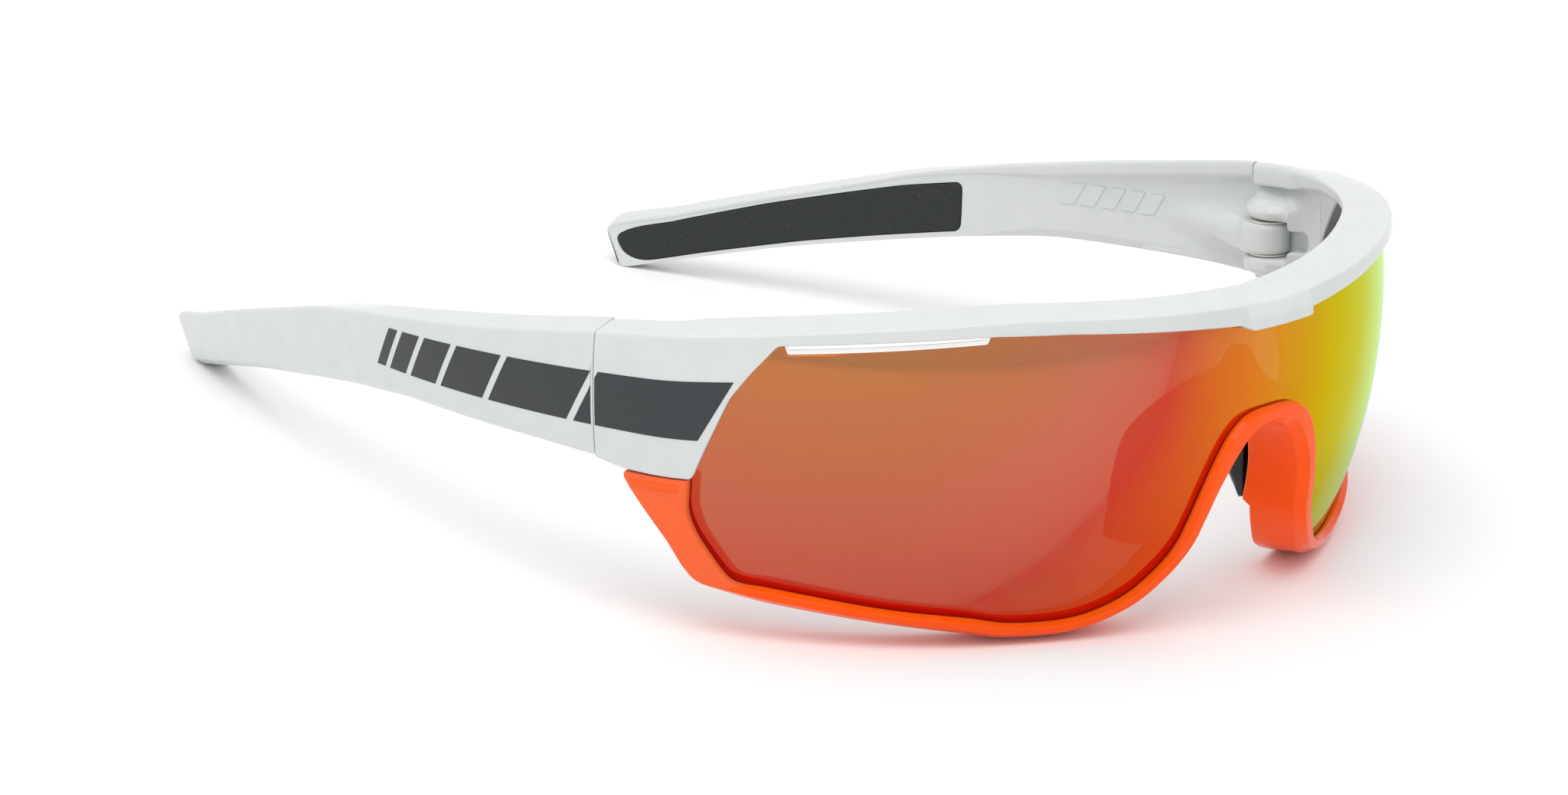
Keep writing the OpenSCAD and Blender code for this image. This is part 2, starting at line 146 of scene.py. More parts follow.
def soft(table, s, width):
    """Table value with its corners rounded over about the given width."""
    taps = np.linspace(-2, 2, 17)
    weights = np.exp(-taps**2 / 2 * 1.6)
    s = np.asarray(s, float)
    total = sum(w * at(table, s + t * width) for t, w in zip(taps, weights))
    return total / weights.sum()


def ease(low, high, x):
    """0 below low, 1 above high, smooth between."""
    t = np.clip((np.asarray(x, float) - low) / (high - low), 0, 1)
    return t * t * (3 - 2 * t)


def fine(rows, k):
    """Smooth curve through a list of rows (Catmull-Rom), with k steps per span."""
    p = np.asarray(rows, float)
    out = []
    for i in range(len(p) - 1):
        a, b, c, d = p[max(0, i - 1)], p[i], p[i + 1], p[min(len(p) - 1, i + 2)]
        for j in range(k):
            t = j / k
            out.append(0.5 * (2 * b + (c - a) * t + (2 * a - 5 * b + 4 * c - d) * t**2
                              + (3 * b - a - 3 * c + d) * t**3))
    out.append(p[-1])
    return np.array(out)


def outline(corners, radii, between, steps=5):
    """Closed rounded outlines, one per station. corners is (stations, k, 2), radii has one value
    per corner, between the number of extra points on the edge after each corner."""
    p = np.asarray(corners, float)
    after = np.roll(p, -1, 1) - p
    before = np.roll(p, 1, 1) - p
    la = np.linalg.norm(after, axis=2, keepdims=True)
    lb = np.linalg.norm(before, axis=2, keepdims=True)
    ua = after / np.maximum(la, 1e-9)
    ub = before / np.maximum(lb, 1e-9)
    turn = np.arccos(np.clip(-(ua * ub).sum(2, keepdims=True), -1, 1))
    reach = np.asarray(radii, float)[None, :, None] * np.tan(np.minimum(turn, 3.0) / 2)
    reach = np.minimum(reach, 0.48 * np.minimum(la, lb))
    start, end = p + ub * reach, p + ua * reach
    out = []
    k = p.shape[1]
    for i in range(k):
        for j in range(steps + 1):
            t = j / steps
            out.append((1 - t) ** 2 * start[:, i] + 2 * t * (1 - t) * p[:, i] + t**2 * end[:, i])
        follow = start[:, (i + 1) % k]
        for j in range(between[i]):
            t = (j + 1) / (between[i] + 1)
            out.append((1 - t) * end[:, i] + t * follow)
    return np.stack(out, 1)


def shrink(loops, distance):
    """Each closed outline moved inwards by a distance per station."""
    ahead = np.roll(loops, -1, 1) - np.roll(loops, 1, 1)
    length = np.maximum(np.linalg.norm(ahead, axis=2, keepdims=True), 1e-9)
    side = np.stack([-ahead[..., 1], ahead[..., 0]], -1) / length
    nxt = np.roll(loops, -1, 1)
    area = (loops[..., 0] * nxt[..., 1] - nxt[..., 0] * loops[..., 1]).sum(1)
    return loops + side * (np.sign(area) * distance)[:, None, None]


def rounded_end(stations, radius, both_ends=True, steps=5):
    """Stations with extra ones packed into each rounded end, and the inset at each station."""
    turn = np.linspace(0, math.pi / 2, steps + 1)
    first, last = stations[0], stations[-1]
    tail = last - radius + radius * np.sin(turn)
    tail_in = radius * (1 - np.cos(turn))
    if not both_ends:
        middle = stations[stations < last - radius - 0.02]
        return np.concatenate([middle, tail]), np.concatenate([0 * middle, tail_in])
    head = first + radius - radius * np.sin(turn[::-1])
    middle = stations[(stations > first + radius + 0.02) & (stations < last - radius - 0.02)]
    return (np.concatenate([head, middle, tail]),
            np.concatenate([tail_in[::-1], 0 * middle, tail_in]))


# ---------- meshes ----------

MIRROR_X = np.array([-1.0, 1.0, 1.0])


def both_sides(left):
    """Rings from the wearer's right to the left, from rings that start at the middle."""
    return np.concatenate([left[:0:-1] * MIRROR_X, left])


def corner_rows(pairs):
    """Corners per station from (height, depth) pairs, as an array of (stations, corners, 2)."""
    flat = np.broadcast_arrays(*[value for pair in pairs for value in pair])
    return np.stack([np.stack(flat[i:i + 2], -1) for i in range(0, len(flat), 2)], 1)


def loft(rings):
    """Points and faces of a closed tube through rings of shape (stations, points, 3)."""
    m, n = rings.shape[:2]
    faces = []
    for i in range(m - 1):
        a, b = i * n, (i + 1) * n
        for j in range(n):
            k = (j + 1) % n
            faces.append((a + j, a + k, b + k, b + j))
    faces.append(tuple(range(n))[::-1])
    faces.append(tuple(range((m - 1) * n, m * n)))
    return rings.reshape(-1, 3), faces


def join(*parts):
    """One list of points and faces from several."""
    points, faces, base = [], [], 0
    for p, f in parts:
        points.append(p)
        faces += [tuple(base + i for i in q) for q in f]
        base += len(p)
    return np.concatenate(points), faces


def mirror(part):
    """The same shape on the wearer's right."""
    points, faces = part
    return points * MIRROR_X, [f[::-1] for f in faces]


def as_drawn(part):
    """The wearer's left, which is the side that is drawn."""
    return part


SIDES = (("left", as_drawn), ("right", mirror))


def make(name, body, materials, part, stands_for=(), sharp=40, normals=None, attributes=None):
    """A mesh object from drawing-frame points and faces, riding on a body."""
    points, faces = part
    data = bpy.data.meshes.new(name)
    data.from_pydata(stand(points).tolist(), [], faces)
    for key, values in (attributes or {}).items():
        layer = data.attributes.new(key, "FLOAT", "POINT")
        layer.data.foreach_set("value", np.asarray(values, np.float32))
    work = bmesh.new()
    work.from_mesh(data)
    bmesh.ops.recalc_face_normals(work, faces=work.faces)
    work.to_mesh(data)
    work.free()
    data.shade_smooth()
    for material in materials:
        data.materials.append(material)
    obj = bpy.data.objects.new(name, data)
    bpy.context.scene.collection.objects.link(obj)
    if normals is None:
        data.set_sharp_from_angle(angle=math.radians(sharp))
        weigh = obj.modifiers.new("weighted_normals", "WEIGHTED_NORMAL")
        weigh.keep_sharp = True
    else:
        turned = stand(points + normals) - stand(points)
        turned /= np.maximum(np.linalg.norm(turned, axis=1, keepdims=True), 1e-9)
        data.normals_split_custom_set_from_vertices(turned.tolist())
    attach(obj, body)
    if stands_for:
        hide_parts(*stands_for)
    return obj


# ---------- materials ----------

class Finish:
    """A small helper that builds the nodes of one material, or of the world."""

    def __init__(self, name, world=None):
        self.owner = world or bpy.data.materials.new(name)
        self.owner.use_nodes = True
        self.tree = self.owner.node_tree
        self.tree.nodes.clear()
        kind = "ShaderNodeOutputWorld" if world else "ShaderNodeOutputMaterial"
        self.output = self.tree.nodes.new(kind)

    def put(self, socket, value):
        if isinstance(value, bpy.types.NodeSocket):
            self.tree.links.new(value, socket)
        else:
            socket.default_value = value

    def add(self, kind, inputs=None, **settings):
        node = self.tree.nodes.new(kind)
        for key, value in settings.items():
            setattr(node, key, value)
        for key, value in (inputs or {}).items():
            self.put(node.inputs[key], value)
        return node

    def noise(self, scale, detail):
        """Noise value in object space; scale is in cells per metre."""
        place = self.add("ShaderNodeTexCoord")
        node = self.add("ShaderNodeTexNoise", {"Vector": place.outputs["Object"],
                                               "Scale": scale, "Detail": detail})
        return node.outputs["Fac"]

    def spread(self, value, low, high, start=0.3, end=0.7):
        """Value mapped from start..end to low..high."""
        node = self.add("ShaderNodeMapRange", {"Value": value, "From Min": start, "From Max": end,
                                               "To Min": low, "To Max": high})
        return node.outputs["Result"]

    def math(self, operation, a, b=0.0):
        node = self.add("ShaderNodeMath", {0: a, 1: b}, operation=operation)
        return node.outputs[0]

    def mix(self, factor, a, b):
        node = self.add("ShaderNodeMix", data_type="RGBA")
        self.put(node.inputs[0], factor)
        self.put(node.inputs[6], a)
        self.put(node.inputs[7], b)
        return node.outputs[2]

    def bump(self, height, distance, strength):
        node = self.add("ShaderNodeBump", {"Height": height, "Distance": distance,
                                           "Strength": strength})
        return node.outputs["Normal"]

    def finish(self, shader):
        self.tree.links.new(shader, self.output.inputs["Surface"])
        return self.owner


def rgb(r, g, b):
    """An opaque colour."""
    return (r, g, b, 1.0)


def plastic(name, colour, deeper, roughness, satin_and_sheen=0.0, sheen=0.5, painted_sheen=None):
    """Glossy moulded plastic: faint mottling in colour and gloss. The satin setting adds a rougher zone
    where the mesh attribute of that name is 1, with a paler colour there that is a painted sheen:
    the light that the satin surface spreads."""
    f = Finish(name)
    cloud = f.noise(260, 2)
    base = f.mix(f.spread(cloud, 0, 1), colour, deeper)
    rough = f.spread(f.noise(900, 2), roughness * 0.85, roughness * 1.25)
    if satin_and_sheen:
        zone = f.add("ShaderNodeAttribute", attribute_name="satin_and_sheen").outputs["Fac"]
        rough = f.math("ADD", rough, f.math("MULTIPLY", zone, satin_and_sheen))
        # painted sheen: in the satin zone the colour turns paler, standing in for the light that the
        # rougher surface spreads
        base = f.mix(zone, base, painted_sheen)
    shader = f.add("ShaderNodeBsdfPrincipled", {
        "Base Color": base, "Roughness": rough, "IOR": 1.47, "Specular IOR Level": sheen,
        "Subsurface Weight": 0.12, "Subsurface Scale": 0.0012,
        "Normal": f.bump(f.noise(2200, 2), 0.00001, 0.25)})
    return f.finish(shader.outputs[0])


def rubber(name, colour, fleck, roughness, grain, sheen):
    """Soft rubber: fine flecks and a matt grain."""
    f = Finish(name)
    speck = f.spread(f.noise(3600, 2), 0, 1, 0.60, 0.80)
    shader = f.add("ShaderNodeBsdfPrincipled", {
        "Base Color": f.mix(speck, colour, fleck),
        "Roughness": f.spread(f.noise(1500, 3), roughness * 0.85, roughness * 1.15), "IOR": 1.45,
        "Specular IOR Level": sheen, "Normal": f.bump(f.noise(5200, 3), grain, 0.6)})
    return f.finish(shader.outputs[0])


def metal(name, colour, deeper, roughness):
    """Turned metal: fine tool marks as noise in its gloss and bump, and a faint mottling in colour."""
    f = Finish(name)
    marks = f.noise(7000, 4)
    shader = f.add("ShaderNodeBsdfPrincipled", {
        "Base Color": f.mix(f.noise(1600, 2), colour, deeper), "Metallic": 1.0,
        "Roughness": f.spread(marks, roughness * 0.7, roughness * 1.4),
        "Normal": f.bump(marks, 0.00001, 0.4)})
    return f.finish(shader.outputs[0])


# Mirror colour by the cosine between the surface and the eye, near the top and near the bottom
MIRROR_TOP = [(0.0, (0.66, 0.88, 0.62)), (0.12, (0.58, 0.80, 0.28)), (0.27, (0.54, 0.57, 0.05)),
              (0.38, (0.55, 0.46, 0.008)), (0.49, (0.585, 0.335, 0.012)), (0.615, (0.655, 0.22, 0.018)),
              (0.70, (0.62, 0.13, 0.018)), (0.76, (0.55, 0.055, 0.03)), (0.85, (0.50, 0.088, 0.046)),
              (0.94, (0.46, 0.094, 0.018)), (1.0, (0.44, 0.108, 0.014))]
MIRROR_LOW = [(0.0, (0.64, 0.83, 0.60)), (0.12, (0.56, 0.70, 0.22)), (0.27, (0.53, 0.44, 0.02)),
              (0.38, (0.55, 0.33, 0.0)), (0.49, (0.58, 0.18, 0.0)), (0.615, (0.60, 0.075, 0.01)),
              (0.70, (0.56, 0.052, 0.016)), (0.76, (0.52, 0.034, 0.020)), (0.85, (0.50, 0.036, 0.018)),
              (0.94, (0.44, 0.040, 0.014)), (1.0, (0.42, 0.042, 0.012))]
LENS_TINT = rgb(0.03, 0.082, 0.054)


def fill_ramp(node, stops):
    """Colour stops (place, colour) on a colour ramp that starts with two."""
    ramp = node.color_ramp
    ramp.elements[0].position, ramp.elements[0].color = stops[0][0], rgb(*stops[0][1])
    ramp.elements[1].position, ramp.elements[1].color = stops[-1][0], rgb(*stops[-1][1])
    for place, colour in stops[1:-1]:
        ramp.elements.new(place).color = rgb(*colour)


def mirror_coat():
    """Half-mirror coating: its colour turns with the viewing angle, and some light passes."""
    f = Finish("mirror_coat")
    shape = f.add("ShaderNodeNewGeometry")
    dot = f.add("ShaderNodeVectorMath", {0: shape.outputs["Normal"], 1: shape.outputs["Incoming"]},
                operation="DOT_PRODUCT")
    facing = f.math("ABSOLUTE", dot.outputs["Value"])
    facing = f.math("ADD", facing, f.spread(f.noise(60, 1), -0.008, 0.008))
    ramps = []
    for stops in (MIRROR_TOP, MIRROR_LOW):
        ramp = f.add("ShaderNodeValToRGB", {"Fac": facing})
        fill_ramp(ramp, stops)
        ramps.append(ramp.outputs["Color"])
    place = f.add("ShaderNodeTexCoord").outputs["Object"]
    height = f.add("ShaderNodeSeparateXYZ", {0: place}).outputs["Z"]
    colour = f.mix(f.spread(height, 0, 1, 0.012, 0.040), ramps[1], ramps[0])
    soft_ray = f.add("ShaderNodeLightPath").outputs["Is Diffuse Ray"]
    plain = f.math("MAXIMUM", shape.outputs["Backfacing"], soft_ray)
    coat = f.mix(plain, colour, rgb(0.05, 0.05, 0.05))
    gloss = f.add("ShaderNodeBsdfGlossy", {"Color": coat, "Roughness": 0.05})
    tint = f.mix(soft_ray, LENS_TINT, rgb(0.6, 0.6, 0.6))
    through = f.add("ShaderNodeBsdfTransparent", {"Color": tint})
    total = f.add("ShaderNodeAddShader", {0: gloss.outputs[0], 1: through.outputs[0]})
    return f.finish(total.outputs[0])


def lens_inside():
    """Uncoated inner side of the lens: clear, with a faint reflection."""
    f = Finish("lens_inside")
    rim = f.add("ShaderNodeFresnel", {"IOR": 1.5})
    share = f.math("MULTIPLY", rim.outputs[0], f.spread(f.noise(300, 1), 0.5, 0.7))
    gloss = f.add("ShaderNodeBsdfGlossy", {"Color": rgb(0.5, 0.5, 0.5), "Roughness": 0.22})
    clear = f.add("ShaderNodeBsdfTransparent", {"Color": rgb(0.98, 0.98, 0.98)})
    both = f.add("ShaderNodeMixShader", {0: share, 1: clear.outputs[0], 2: gloss.outputs[0]})
    return f.finish(both.outputs[0])


WHITE = plastic("white_plastic", rgb(0.635, 0.66, 0.655), rgb(0.61, 0.635, 0.63), 0.16)
# the orange's paler colour in its satin zone is a painted sheen
ORANGE = plastic("orange_plastic", rgb(0.98, 0.098, 0.004), rgb(0.96, 0.088, 0.003), 0.12,
                 satin_and_sheen=0.3, sheen=0.16, painted_sheen=rgb(0.90, 0.135, 0.036))
GRIP = rubber("grip_rubber", rgb(0.022, 0.025, 0.026), rgb(0.06, 0.064, 0.066), 0.5, 0.00003, 0.32)
PAD = rubber("pad_rubber", rgb(0.010, 0.010, 0.011), rgb(0.014, 0.014, 0.015), 0.16, 0.000004, 0.3)
PRINT = rubber("graphic_print", rgb(0.036, 0.040, 0.043), rgb(0.05, 0.054, 0.057), 0.4, 0.000004, 0.35)
STEEL = metal("steel", rgb(0.62, 0.63, 0.65), rgb(0.52, 0.53, 0.55), 0.26)
BRASS = metal("brass", rgb(0.80, 0.60, 0.26), rgb(0.70, 0.50, 0.20), 0.3)
NYLON = plastic("nylon", rgb(0.72, 0.71, 0.64), rgb(0.66, 0.65, 0.58), 0.4)
COAT = mirror_coat()
INSIDE = lens_inside()

# ---------- shared outlines of the front ----------

# (length s, height z) of the ridge, the brow's lower edge, the lens's top and the temple's lower edge
RIDGE_Z = [(0, 13.4), (20, 14.2), (40, 15.3), (60, 14.8), (80, 13.9), (95, 12.6), (114, 10.1),
           (139, 7.3), (154, 5.1), (163, 3.1), (178, -0.3), (192, -3.7), (201, -6.2), (205, -7.3)]
BROW_LOW_Z = [(0, 10.3), (6.0, 10.35), (7.4, 11.1), (22.7, 12.3), (33.6, 13.2), (43.6, 13.6),
              (57.8, 13.3), (70.3, 12.9), (73.6, 9.4), (76.1, 6.3), (78.7, 0.8), (80.2, -2.5),
              (80.9, -4.2), (83.2, -4.2), (86.5, -4.15), (90.8, -4.0), (96, -3.1)]
LENS_TOP_Z = [(0, 12.4), (13, 12.7), (22.7, 13.1), (33.6, 13.8), (43.6, 14.0), (44.2, 12.6),
              (69.2, 11.8), (69.7, 13.4), (71.5, 12.6), (75.5, 9.2), (78.2, 6.1), (80.5, 1.5),
              (82.1, -2.5), (82.9, -5.6), (83.1, -7.0)]
TEMPLE_LOW_Z = [(95, -3.1), (103.4, -2.6), (131, -2.4), (145, -3.6), (155.7, -5.1),
                (165, -6.5), (175, -8.1), (189.5, -11.0), (200.5, -13.3), (206, -14.5)]
SEAM_S = 95.0
SEAM_GAP = 0.12
SEAM_EDGE = 0.16
# depths n of the lens's front sheet, the lip before it and the brow's inner side, and thicknesses
WALL_T = 2.7
LENS_N = 1.4
LENS_T = 2.2
LIP_N = 1.3
BACK_N = 3.7
RIDGE_SOFT = 3.2
LOW_SOFT = 0.35


# ---------- top frame ----------

RAIL_RISE = 1.0
SEAM_RISE = 0.35
BROW_RAIL_N = [(0, 6.5), (80, 6.5), (95, 4.2), (110, 4.2)]
VENT_START = 43.6
VENT_END = 69.2
PLATE_START = 83.5
BEAK_OUT = 0.7
BEAK_EDGE = 6.7
SEAM_CUT = 0.045
SEAM_CUT_FROM = 90.0


def brow_stations():
    """Stations from the middle to the seam, closer together where the outline is steep."""
    parts = [np.arange(0, 6, 0.75), np.arange(6, 8.6, 0.1), np.arange(8.6, 68, 0.8),
             np.arange(68, 84.4, 0.18), np.arange(84.4, SEAM_S, 0.4), [SEAM_S]]
    return np.concatenate(parts)


def plate_back(u):
    """Depth of the brow's inner side: thinner towards the seam."""
    return BACK_N + (WALL_T - BACK_N) * ease(82.5, 92.5, u)


def brow_corners(u):
    """Corners (height, depth) of the brow's section at length u."""
    top = soft(RIDGE_Z, u, RIDGE_SOFT)
    low = soft(BROW_LOW_Z, u, LOW_SOFT)
    tall = top - low
    rise = RAIL_RISE + SEAM_RISE * ease(82, SEAM_S, u)
    beak = BEAK_OUT * (1 - ease(BEAK_EDGE - 0.7, BEAK_EDGE + 0.1, u))
    rail_n = soft(BROW_RAIL_N, u, 2.0)
    rail_z = np.maximum(low + 0.4, top - 0.9 - 1.4 * ease(69, 88, u))
    wall_n = plate_back(u)
    # the ledge that the lens bites into, and the plain edge over the vent and on the plate
    plain = (u > PLATE_START) | ((u > VENT_START) & (u < VENT_END))
    ledge = np.where(plain, low, soft(LENS_TOP_Z, u, 0.5) + 0.4)
    ledge = np.minimum(np.maximum(low + 0.12, ledge), rail_z - 0.35)
    return corner_rows([
        (low, -beak), (low + 0.45 * tall, -beak), (low + 0.75 * tall, -0.5 * beak), (top, 0),
        (top + rise, rail_n), (rail_z, rail_n), (rail_z - 0.3, wall_n), (ledge, wall_n),
        (ledge, LIP_N), (low, LIP_N)])


BROW_RADII = [0.3, 1.2, 1.2, 0.55, 1.3, 0.7, 1.2, 0.15, 0.15, 0.2]
BROW_FILL = [3, 1, 3, 4, 1, 1, 3, 1, 0, 0]


def brow():
    """The visor-like brow with its beak and the two end plates, up to the seams."""
    half, inset = rounded_end(brow_stations(), SEAM_EDGE, both_ends=False)
    loops = outline(brow_corners(half), BROW_RADII, BROW_FILL)
    loops = shrink(loops, inset)
    # the plate's end leans so that the rail clears the temple when it folds
    near_seam = np.maximum(0, half - SEAM_CUT_FROM)[:, None] / (SEAM_S - SEAM_CUT_FROM)
    cut = SEAM_CUT * near_seam * np.maximum(0, loops[..., 1] - WALL_T)
    left = face(half[:, None] - cut, loops[..., 0], loops[..., 1])
    return loft(both_sides(left))


make("brow_shell", "front", [WHITE], brow(), ["top_frame"])

# ---------- lower frame ----------

# s and z of the edge on the lens, then s and z of the free edge, from the tail to the arch
RIM = [(81.4, -4.35, 90.8, -4.35), (81.6, -6.2, 91.0, -5.2), (81.8, -8.2, 89.4, -7.6),
       (81.3, -10.3, 87.2, -10.5), (79.9, -12.9, 85.3, -13.0), (77.9, -16.0, 83.4, -15.9),
       (76.6, -17.5, 81.6, -17.8), (75.0, -18.1, 78.5, -19.1), (72.0, -18.5, 73.6, -20.4),
       (66.1, -19.6, 67.0, -21.7), (55.9, -21.6, 56.8, -23.6), (45.1, -23.3, 45.8, -25.5),
       (38.3, -24.6, 38.6, -26.8), (28.9, -24.8, 28.4, -27.0), (21.9, -23.0, 20.0, -24.8),
       (17.4, -20.0, 14.6, -20.9), (14.5, -16.7, 11.5, -17.2), (13.0, -13.0, 10.0, -13.5),
       (11.7, -9.5, 8.6, -10.2), (10.1, -6.0, 6.9, -7.4), (8.3, -3.2, 5.2, -5.2),
       (6.4, -1.5, 3.8, -4.0), (4.5, -0.7, 2.5, -3.4), (2.4, -0.4, 1.2, -3.1), (0, -0.35, 0, -3.0)]
FLANGE_N = [(0, 5.6), (4, 6.2), (7, 8.3), (11.4, 8.5), (11.6, 7.4), (14.6, 7.2), (19.5, 6.9),
            (22, 6.4), (28, 5.6), (40, 5.35), (95, 5.35)]
FLANGE_T = 1.5
RIM_BACK_N = 5.2
RIM_UNDER = 0.4
LIP_GAP = 0.07
RIM_RADII = [0.15, 0.2, 0.2, 0.5, 0.5, 0.4, 0.6, 0.5, 0.15, 0.1, 0.1, 0.15]
RIM_FILL = [0, 4, 1, 6, 1, 2, 2, 1, 0, 0, 0, 0]
BEAD_Z = -5.55
BEAD_R = 0.42
# how satin the bead is, and the widths over which the tail turns satin; satin parts also get the
# orange's painted sheen
BEAD_SATIN_AND_SHEEN = 0.4
SATIN_AND_SHEEN_WIDTH = (3.2, 4.2)
LENS_BITE = 1.1
EDGE_GAP = 0.2


def rim_width(rows):
    """Distance across the rim at each row, and the unit direction (s, z) from the lens outwards."""
    across = rows[:, 2:] - rows[:, :2]
    width = np.linalg.norm(across, axis=1)
    return width, across / width[:, None]


def rim_loops(rows):
    """Rounded sections (distance from the lens edge, depth) across the rim at each row."""
    width = rim_width(rows)[0]
    back = soft(FLANGE_N, rows[:, 2], 0.15)
    groove = LENS_BITE + EDGE_GAP
    # the narrow rim is crowned, the wide tail is a flat plate with small edges
    narrow = 1 - ease(3.0, 6.0, width)
    first = 0.45 * narrow + 0.25 * (1 - narrow)
    second = 0.62 * width * narrow + (1 - narrow) * (width - 0.5)
    corners = corner_rows([
        (0, 0.55 * narrow + 0.35), (first, 0), (second, 0), (width, 0.85 * narrow + 0.4),
        (width, back), (width - FLANGE_T, back), (width - FLANGE_T, RIM_BACK_N),
        (-RIM_UNDER, RIM_BACK_N), (-RIM_UNDER, BACK_N), (groove, BACK_N),
        (groove, LIP_N + LIP_GAP), (0, LIP_N + LIP_GAP)])
    return outline(corners, RIM_RADII, RIM_FILL)


def rim_place(rows, loops):
    """Points in space of the rim's sections."""
    out = rim_width(rows)[1]
    s = rows[:, None, 0] + loops[..., 0] * out[:, None, 0]
    z = rows[:, None, 1] + loops[..., 0] * out[:, None, 1]
    return face(s, z, loops[..., 1])


def tail_bead():
    """Raised bead along the top of the tail."""
    s = np.linspace(82.6, 90.2, 40)
    turn = np.linspace(0, 2 * math.pi, 17)[:-1]
    ends = np.sqrt(np.clip(1 - (2 * (s - s[0]) / (s[-1] - s[0]) - 1) ** 8, 0.02, 1))[:, None]
    z = BEAD_Z + BEAD_R * np.cos(turn)[None, :] * ends
    n = 0.1 + BEAD_R * np.sin(turn)[None, :] * ends
    return loft(face(s[:, None], z, n))


def lower_frame():
    """The rim with both tails and beads, and how satin it is at each point, which also sets how much
    painted sheen its colour gets.
    """
    rows = fine(RIM, 8)
    loops = rim_loops(rows)
    left = rim_place(rows, loops)
    right = left[-2::-1] * MIRROR_X
    body = loft(np.concatenate([left, right]))
    # the wide tail is satin, and there the orange also gets its paler painted sheen
    satin_and_sheen = ease(*SATIN_AND_SHEEN_WIDTH, rim_width(rows)[0]) * (rows[:, 1] < -2) * (rows[:, 0] > 60)
    rings = np.concatenate([satin_and_sheen, satin_and_sheen[-2::-1]])
    bead = tail_bead()
    values = np.concatenate([np.repeat(rings, loops.shape[1]), np.full(2 * len(bead[0]), BEAD_SATIN_AND_SHEEN)])
    return join(body, bead, mirror(bead)), values


# the satin share per point also sets the orange's painted sheen
rim_part, rim_satin_and_sheen = lower_frame()
make("lower_rim", "front", [ORANGE], rim_part, ["lower_frame"],
     attributes={"satin_and_sheen": rim_satin_and_sheen})

# ---------- lens ----------

LENS_RADII = [0.3, 0.02, 0.3, 0.3, 0.02, 0.3]
LENS_FILL = [14, 3, 1, 3, 14, 1]
SHOULDER_Z = 11.0
SHEET_GAP_N = 0.04


def lens_low_table():
    """Lower edge of the lens: the rim's edge moved outwards by the bite."""
    rows = fine(RIM, 6)
    edge = rows[:, :2] + LENS_BITE * rim_width(rows)[1]
    keep = (edge[:, 1] < -7.5) | (edge[:, 0] < 30)
    return edge[keep][::-1]


def lens():
    """The lens shield and the direction each of its points faces."""
    half = np.concatenate([np.arange(0, 43, 0.3), np.arange(43, 45, 0.08), np.arange(45, 68.6, 0.6),
                           np.arange(68.6, 70.38, 0.05), np.arange(70.5, 82.8, 0.25)])
    low = at(lens_low_table(), half)
    top = soft(LENS_TOP_Z, half, 0.16)
    front, back = LENS_N, LENS_N + LENS_T
    shoulder = np.minimum(top - 0.4, SHOULDER_Z)
    corners = corner_rows([(low, front), (shoulder, front), (top, front),
                           (top, back), (shoulder, back), (low, back)])
    loops = outline(corners, LENS_RADII, LENS_FILL, steps=3)
    s = np.repeat(half[:, None], loops.shape[1], 1)
    # the face's own direction, from small steps along it and up it
    delta = 1e-3
    z, n = loops[..., 0], loops[..., 1]
    along = face(s + delta, z, n) - face(np.abs(s - delta), z, n) * np.where(
        (s < delta)[..., None], [-1.0, 1.0, 1.0], 1.0)
    upward = face(s + 1e-9, z + delta, n) - face(s + 1e-9, z - delta, n)
    outward = np.cross(along, upward)
    outward /= np.linalg.norm(outward, axis=-1, keepdims=True)
    # the rounded edges lean from the front's direction to straight up or down, and to the back's
    ahead = np.roll(loops, -1, 1) - np.roll(loops, 1, 1)
    ahead /= np.maximum(np.linalg.norm(ahead, axis=-1, keepdims=True), 1e-9)
    normal = outward * ahead[..., 0:1] + np.array([0.0, 0.0, 1.0]) * ahead[..., 1:2]
    return loft(both_sides(face(s, z, n))), both_sides(normal).reshape(-1, 3)


lens_part, lens_normals = lens()
lens_object = make("shield_lens", "front", [COAT, INSIDE], lens_part, ["lens"],
                   normals=lens_normals)
# only the front sheet carries the mirror coat; the edges and the back stay clear
centres = np.array([lens_part[0][list(f)].mean(0) for f in lens_part[1]])
sheet_n = unface(np.abs(centres) * [1, 0, 0] + centres * [0, 1, 1])[2]
for polygon, level in zip(lens_object.data.polygons, sheet_n):
    polygon.material_index = int(level > LENS_N + SHEET_GAP_N)

# ---------- nose saddle ----------

# place x and z of the inner edge, width, depth y of the back and overhang, from the middle down
SADDLE = [(0, 0.4, 6.4, 10, 0), (3.4, -0.3, 3.0, 11.2, 0.3), (6.2, -2.6, 3.9, 13.6, 0.9),
          (8.5, -5.8, 7.0, 15.8, 1.4), (10.3, -9.6, 8.6, 16.0, 1.5), (11.9, -13.4, 7.0, 15.5, 1.4),
          (13.2, -16.4, 3.8, 15.0, 1.0), (13.6, -17.8, 2.4, 14.8, 0.6)]
SADDLE_N = 5.35
FLANGE_CLEAR_N = 9.75
SADDLE_RADII = [0.3, 1.6, 2.0, 3.0, 1.2, 0.7, 0.8, 1.5, 0.2, 0.2]
SADDLE_FILL = [3, 1, 1, 2, 1, 1, 2, 2, 0, 1]


def behind(x, z, n):
    """How far back a point at x and z lies when its depth behind the lens arc is n."""
    return MID_Y - np.sqrt((FACE_R - n) ** 2 - x**2 - (z - MID_Z) ** 2)


